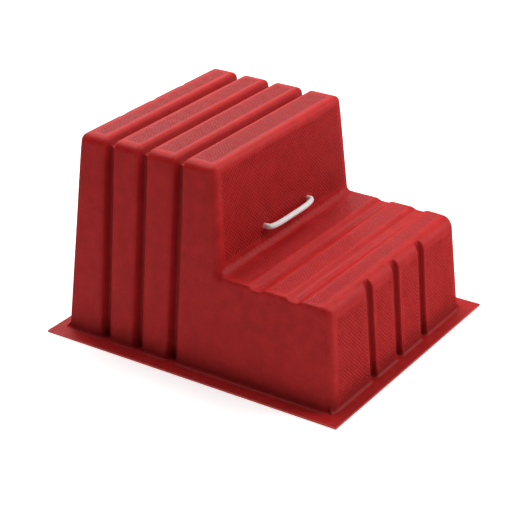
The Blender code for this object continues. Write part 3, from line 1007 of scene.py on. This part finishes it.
def moulded_shell():
    outer = Skin(True, True, with_flange, 0.0)
    inner = Skin(False, False, grooved, -WALL)
    side_top, side_tread = SIDE_X - 20.8, SIDE_X - 10.2
    side_front, lip = SIDE_X - 25.0, UPRIGHT_HALF + 4.0
    top = plane_frame((0, 0, TOP_Z), (1, 0, 0), (0, 1, 0))
    tread = plane_frame((0, 0, TREAD_Z), (1, 0, 0), (0, 1, 0))
    floor = plane_frame((0, 0, TREAD_Z - CROSS_DEPTH), (1, 0, 0), (0, 1, 0))
    riser = plane_frame((0, RISER_Y, TREAD_Z), (1, 0, 0), (0, RISER_DRAFT, 1))
    front = plane_frame((0, FRONT_Y, 0), (1, 0, 0), (0, FRONT_DRAFT, 1))
    sunk = FRONT_DEPTH * math.sqrt(1 + FRONT_DRAFT ** 2)
    groove = plane_frame((0, FRONT_Y + sunk, 0), (1, 0, 0), (0, FRONT_DRAFT, 1))

    mouth = WRAP_HALF + 5.4
    stops = [RISER_Y + 16.5]
    for c in WRAP_Y:
        stops += [c - mouth, c + mouth]
    stops.append(BACK_Y - 20.8)
    windows = [
        ((-side_top, a, TOP_Z), (side_top, b, TOP_Z), 2, top, (), 0.95, (0.9, 1.5))
        for a, b in zip(stops[::2], stops[1::2])
    ]
    mouth = CROSS_HALF + 4.0
    stops = [FRONT_Y + 25.0]
    for c in sorted(CROSS_Y):
        stops += [c - mouth, c + mouth]
    stops.append(RISER_Y - R_RISER_FOOT - 2.0)
    windows += [
        ((-side_tread, a, TREAD_Z), (side_tread, b, TREAD_Z), 2, tread, (), 0.70, (0.35, 0.75))
        for a, b in zip(stops[::2], stops[1::2])
    ]
    deep = TREAD_Z - CROSS_DEPTH
    windows += [
        ((-side_tread, c - 13.5, deep), (side_tread, c + 13.5, deep), 2, floor, (), 0.70, (0.35, 0.75))
        for c in CROSS_Y
    ]
    stops = [-side_front]
    for c in UPRIGHT_X:
        stops += [c - lip, c + lip]
    stops.append(side_front)
    windows += [
        ((a, FRONT_Y, WALL + 12.0), (b, FRONT_Y, TREAD_Z - 27.0), 1, front, (), 1.0, (1.8, 1.0))
        for a, b in zip(stops[::2], stops[1::2])
    ]
    sunk = FRONT_Y + FRONT_DEPTH
    windows += [
        ((c - 9.0, sunk, WALL + 12.0), (c + 9.0, sunk, TREAD_Z - 13.9), 1, groove, (), 1.0, (0.7, 1.3))
        for c in UPRIGHT_X
    ]
    up_slope = (HOLE_Z - TREAD_Z) * math.sqrt(1 + RISER_DRAFT ** 2)
    chamfer = 0.5
    holes = [(s * HOLE_X, up_slope, HOLE_R + chamfer) for s in (-1, 1)]
    windows.append((
        (-side_top, RISER_Y, TREAD_Z + R_RISER_FOOT + 3.0), (side_top, RISER_Y, TOP_Z - 13.2),
        1, riser, holes, 0.95, (0.9, 1.15),
    ))
    rims = []
    for low, high, axis, plane, drilled, depth, tone in windows:
        ring, corners = outer.window(low, high, axis)
        found = knurled(outer, ring, corners, plane, holes=drilled, depth=depth, tone=tone)
        rims += found
    ridged_fillet(outer, side_top)

    ring, corners = inner.window(
        (-side_top, RISER_Y, TREAD_Z + R_RISER_FOOT + 3.0), (side_top, RISER_Y, TOP_Z - 17.0), 1
    )
    origin = np.array(inner.points[ring[0]])
    behind = plane_frame((0, origin[1], origin[2]), (1, 0, 0), (0, RISER_DRAFT, 1))
    # the drilled holes run square to the riser's face
    normal = riser[3]
    holes = []
    for s in (-1, 1):
        on_face = riser[0] + riser[1] * s * HOLE_X + riser[2] * up_slope
        d = on_face - behind[0]
        holes.append((d @ behind[1], d @ behind[2], HOLE_R))
    inner_rims = knurled(inner, ring, corners, behind, holes=holes, pattern=False)

    verts = [np.array(p) for p in outer.points]
    shift = len(verts)
    verts += [np.array(p) for p in inner.points]
    faces, is_knurl = [], []

    def put(face, knurl=False):
        faces.append(tuple(face))
        is_knurl.append(knurl)

    for corners in outer.faces.values():
        put([outer.index[k] for k in corners])
    for tri, knurl in outer.extra:
        put(tri, knurl)
    for corners in inner.faces.values():
        put([inner.index[k] + shift for k in reversed(corners)])
    for tri, _ in inner.extra:
        put([k + shift for k in reversed(tri)])
    # bores
    for rim, far in zip(rims, inner_rims):
        near = []
        middle = sum(verts[k] for k in rim) / len(rim)
        for k in rim:
            verts.append(middle + (verts[k] - middle) * HOLE_R / (HOLE_R + chamfer) - normal * chamfer)
            near.append(len(verts) - 1)
        far = [k + shift for k in far]
        for a, b in ((rim, near), (near, far)):
            for i in range(len(a)):
                j = (i + 1) % len(a)
                put((a[i], b[i], b[j], a[j]))
    # the foot: the flange's underside from its rim to the open inside
    used = {}
    for face in faces:
        for a, b in zip(face, face[1:] + face[:1]):
            used[(a, b)] = used.get((a, b), 0) + 1
    follow = {a: b for a, b in used if (b, a) not in used and abs(verts[a][2]) < 0.01}
    loops = []
    while follow:
        at = start = next(iter(follow))
        loop = []
        while at in follow:
            loop.append(at)
            at = follow.pop(at)
        loops.append(loop)
    loops.sort(key=lambda l: -max(abs(verts[k][0]) for k in l))
    print("foot loops", [len(l) for l in loops])
    flat = {k: verts[k][:2] for l in loops for k in l}
    hollow = np.array([flat[k] for k in loops[1]])
    for tri in filled_ring(flat, loops, lambda m: inside_loop(m, hollow)):
        a, b, c = (np.array(flat[k]) for k in tri)
        put(tri[::-1] if np.cross(b - a, c - a) > 0 else tri)

    shell = new_mesh("shell", [tuple(v * MM) for v in verts], faces)
    outside = np.array(outer.points)
    # the sheltered measure, and a flat 0.45 on the inside and bores, are painted into the colour as shade
    shade = np.full(len(verts), 0.45)
    shade[:shift] = sheltered(outside)
    # relief paints knurl points paler as a highlight and pits darker as shade
    relief, grip = np.zeros(len(verts)), np.zeros(len(verts))
    for k, value in outer.tone.items():
        relief[k], grip[k] = value, 1.0
    for name, values in (("painted_shade", shade), ("relief", relief), ("grip", grip)):
        made = shell.data.attributes.new(name, "FLOAT", "POINT")
        made.data.foreach_set("value", values.astype(np.float32))
    shell.data.polygons.foreach_set("use_smooth", [not k for k in is_knurl])
    shell.data.set_sharp_from_angle(angle=math.radians(38))
    shell.data.polygons.foreach_set("use_smooth", [not k for k in is_knurl])
    shell.data.update()
    return shell


# -------------------------------------------------------------- floor and light
def floor_and_light():
    bpy.context.scene.view_settings.view_transform = "Standard"
    world = bpy.data.worlds.new("studio")
    bpy.context.scene.world = world
    world.use_nodes = True
    world.node_tree.nodes["Background"].inputs[0].default_value = (1, 1, 1, 1)
    # beyond the floor's edge the camera sees the floor's own far tone
    path = world.node_tree.nodes.new("ShaderNodeLightPath")
    lift = world.node_tree.nodes.new("ShaderNodeMapRange")
    lift.inputs["To Min"].default_value = 0.02
    lift.inputs["To Max"].default_value = 0.56
    world.node_tree.links.new(path.outputs["Is Camera Ray"], lift.inputs["Value"])
    world.node_tree.links.new(lift.outputs[0], world.node_tree.nodes["Background"].inputs[1])
    half = 6.0
    floor = new_mesh(
        "floor",
        [(-half, -half, -0.0006), (half, -half, -0.0006), (half, half, -0.0006), (-half, half, -0.0006)],
        [(0, 1, 2, 3)],
    )
    made, tree, shader = shader_of("pale_floor")
    shader.inputs["Base Color"].default_value = (0.92, 0.92, 0.92, 1)
    shader.inputs["Roughness"].default_value = 0.9
    shader.inputs["Emission Color"].default_value = (1, 1, 1, 1)
    shader.inputs["Emission Strength"].default_value = 0.52
    floor.data.materials.append(made)
    # a studio's dark side: only the lamps show in the plastic's gloss
    floor.visible_glossy = False
    world.cycles_visibility.glossy = False

    def area(name, place, at, size, power, colour=(1, 1, 1)):
        light = bpy.data.lights.new(name, "AREA")
        light.shape = "RECTANGLE"
        light.size, light.size_y = size
        light.energy = power
        light.color = colour
        obj = bpy.data.objects.new(name, light)
        bpy.context.scene.collection.objects.link(obj)
        obj.location = place
        obj.rotation_mode = "QUATERNION"
        obj.rotation_quaternion = (Vector(at) - Vector(place)).to_track_quat("-Z", "Y")
        return obj

    def from_direction(name, azimuth, height, power, size=1.5):
        """A soft box three metres out, facing the block."""
        a, e = math.radians(azimuth), math.radians(height)
        d = Vector((math.sin(a) * math.cos(e), -math.cos(a) * math.cos(e), math.sin(e)))
        area(name, Vector((0, 0, 0.2)) + d * 3.0, (0, 0, 0.2), (size, size), power)

    from_direction("key", 40, 50, 43.2)
    from_direction("key_low", 50, 20, 19.5)
    from_direction("front_low", -30, 20, 4.0)
    from_direction("overhead", 180, 70, 54.0)
    from_direction("right", 110, 48, 22.0)
    from_direction("back_right", 135, 28, 11.0)
    from_direction("back", 160, 28, 14.0)


# ------------------------------------------------------------------ put together
aim_camera()
rope_paint, red_paint = white_rope(), red_plastic()

route = rope_route()
rope = rope_tube("rope_handle", route, ROPE_R, 40)
rope.data.materials.append(rope_paint)
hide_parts("rope_grip")
for side, sign in (("left", -1), ("right", 1)):
    knot, _ = knot_and_tail("rope_knot_" + side, sign)
    knot.data.materials.append(rope_paint)
    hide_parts("rope_end_" + side)
    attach(knot, "block")
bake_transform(rope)

shell = moulded_shell()
shell.data.materials.append(red_paint)
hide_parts("moulded_shell")
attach(shell, "block")

floor_and_light()
